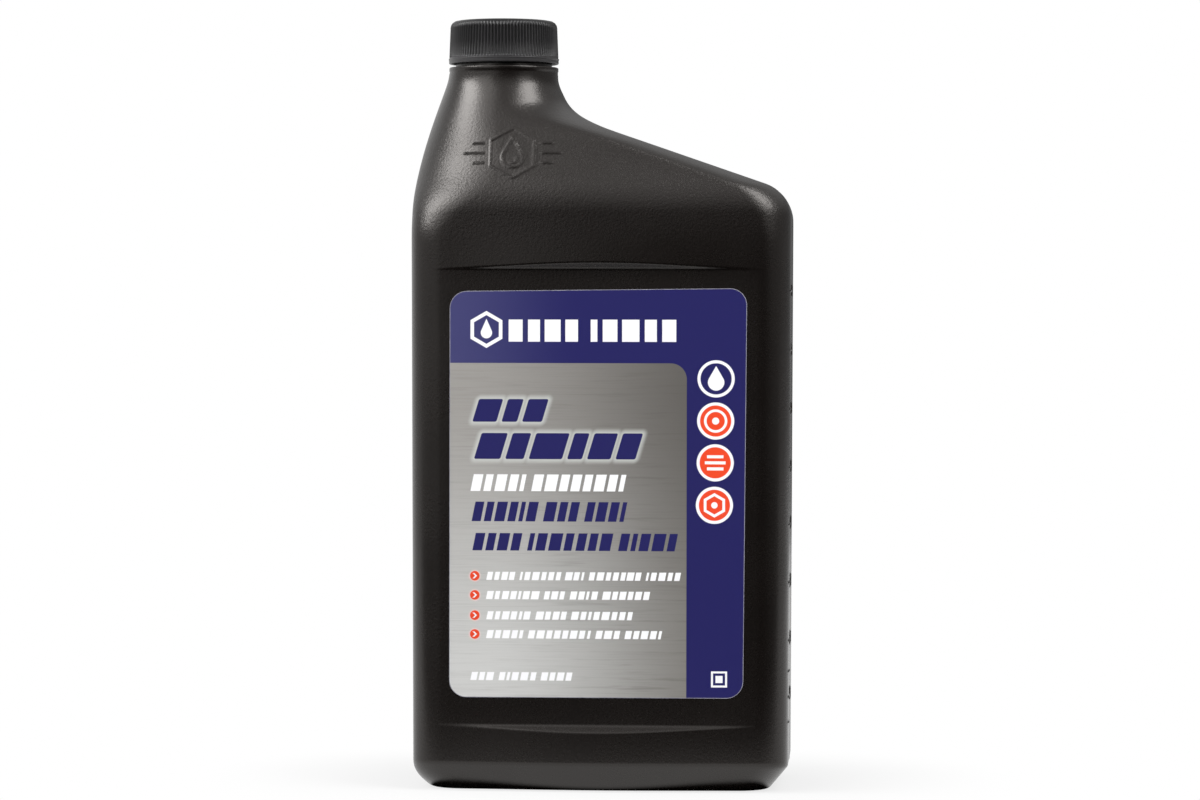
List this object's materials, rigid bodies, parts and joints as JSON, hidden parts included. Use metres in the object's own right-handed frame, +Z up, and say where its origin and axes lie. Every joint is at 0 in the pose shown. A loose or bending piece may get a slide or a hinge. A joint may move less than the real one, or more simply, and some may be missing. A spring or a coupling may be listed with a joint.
{
  "type": "motor oil bottle",
  "caption": "Blow-moulded oil bottle with an off-centre neck, a long sloping shoulder, a fluted screw cap with a foam liner, and a film label in a flat recessed panel.",
  "frame": {"origin": "on the ground under the middle of the body", "axes": "+Z up along the neck, +X from the neck towards the long shoulder, -Y towards the labelled front"},
  "size_m": [0.1072, 0.06, 0.2181],
  "materials": {
    "bottle": "satin",
    "cap": "satin",
    "liner": "matte foam",
    "label": "brushed metallised film"
  },
  "bodies": {
    "bottle_body": {"bottle": "bottle", "front_label": "label"},
    "liner_body": {"cap_liner": "liner"},
    "cap_body": {"screw_cap": "cap"}
  },
  "joints": [
    {"name": "cap_rise", "type": "slide", "parent": "bottle_body", "child": "liner_body", "axis": [0, 0, 1], "range_m": [0, 0.0053]},
    {"name": "cap_turn", "type": "hinge", "parent": "liner_body", "child": "cap_body", "pos_m": [-0.02885, 0, 0.2168], "axis": [0, 0, 1], "range_deg": [0, 450]}
  ],
  "couplings": [
    {"joint": "cap_rise", "follows": "cap_turn", "m_per_rad": 0.00067322}
  ]
}
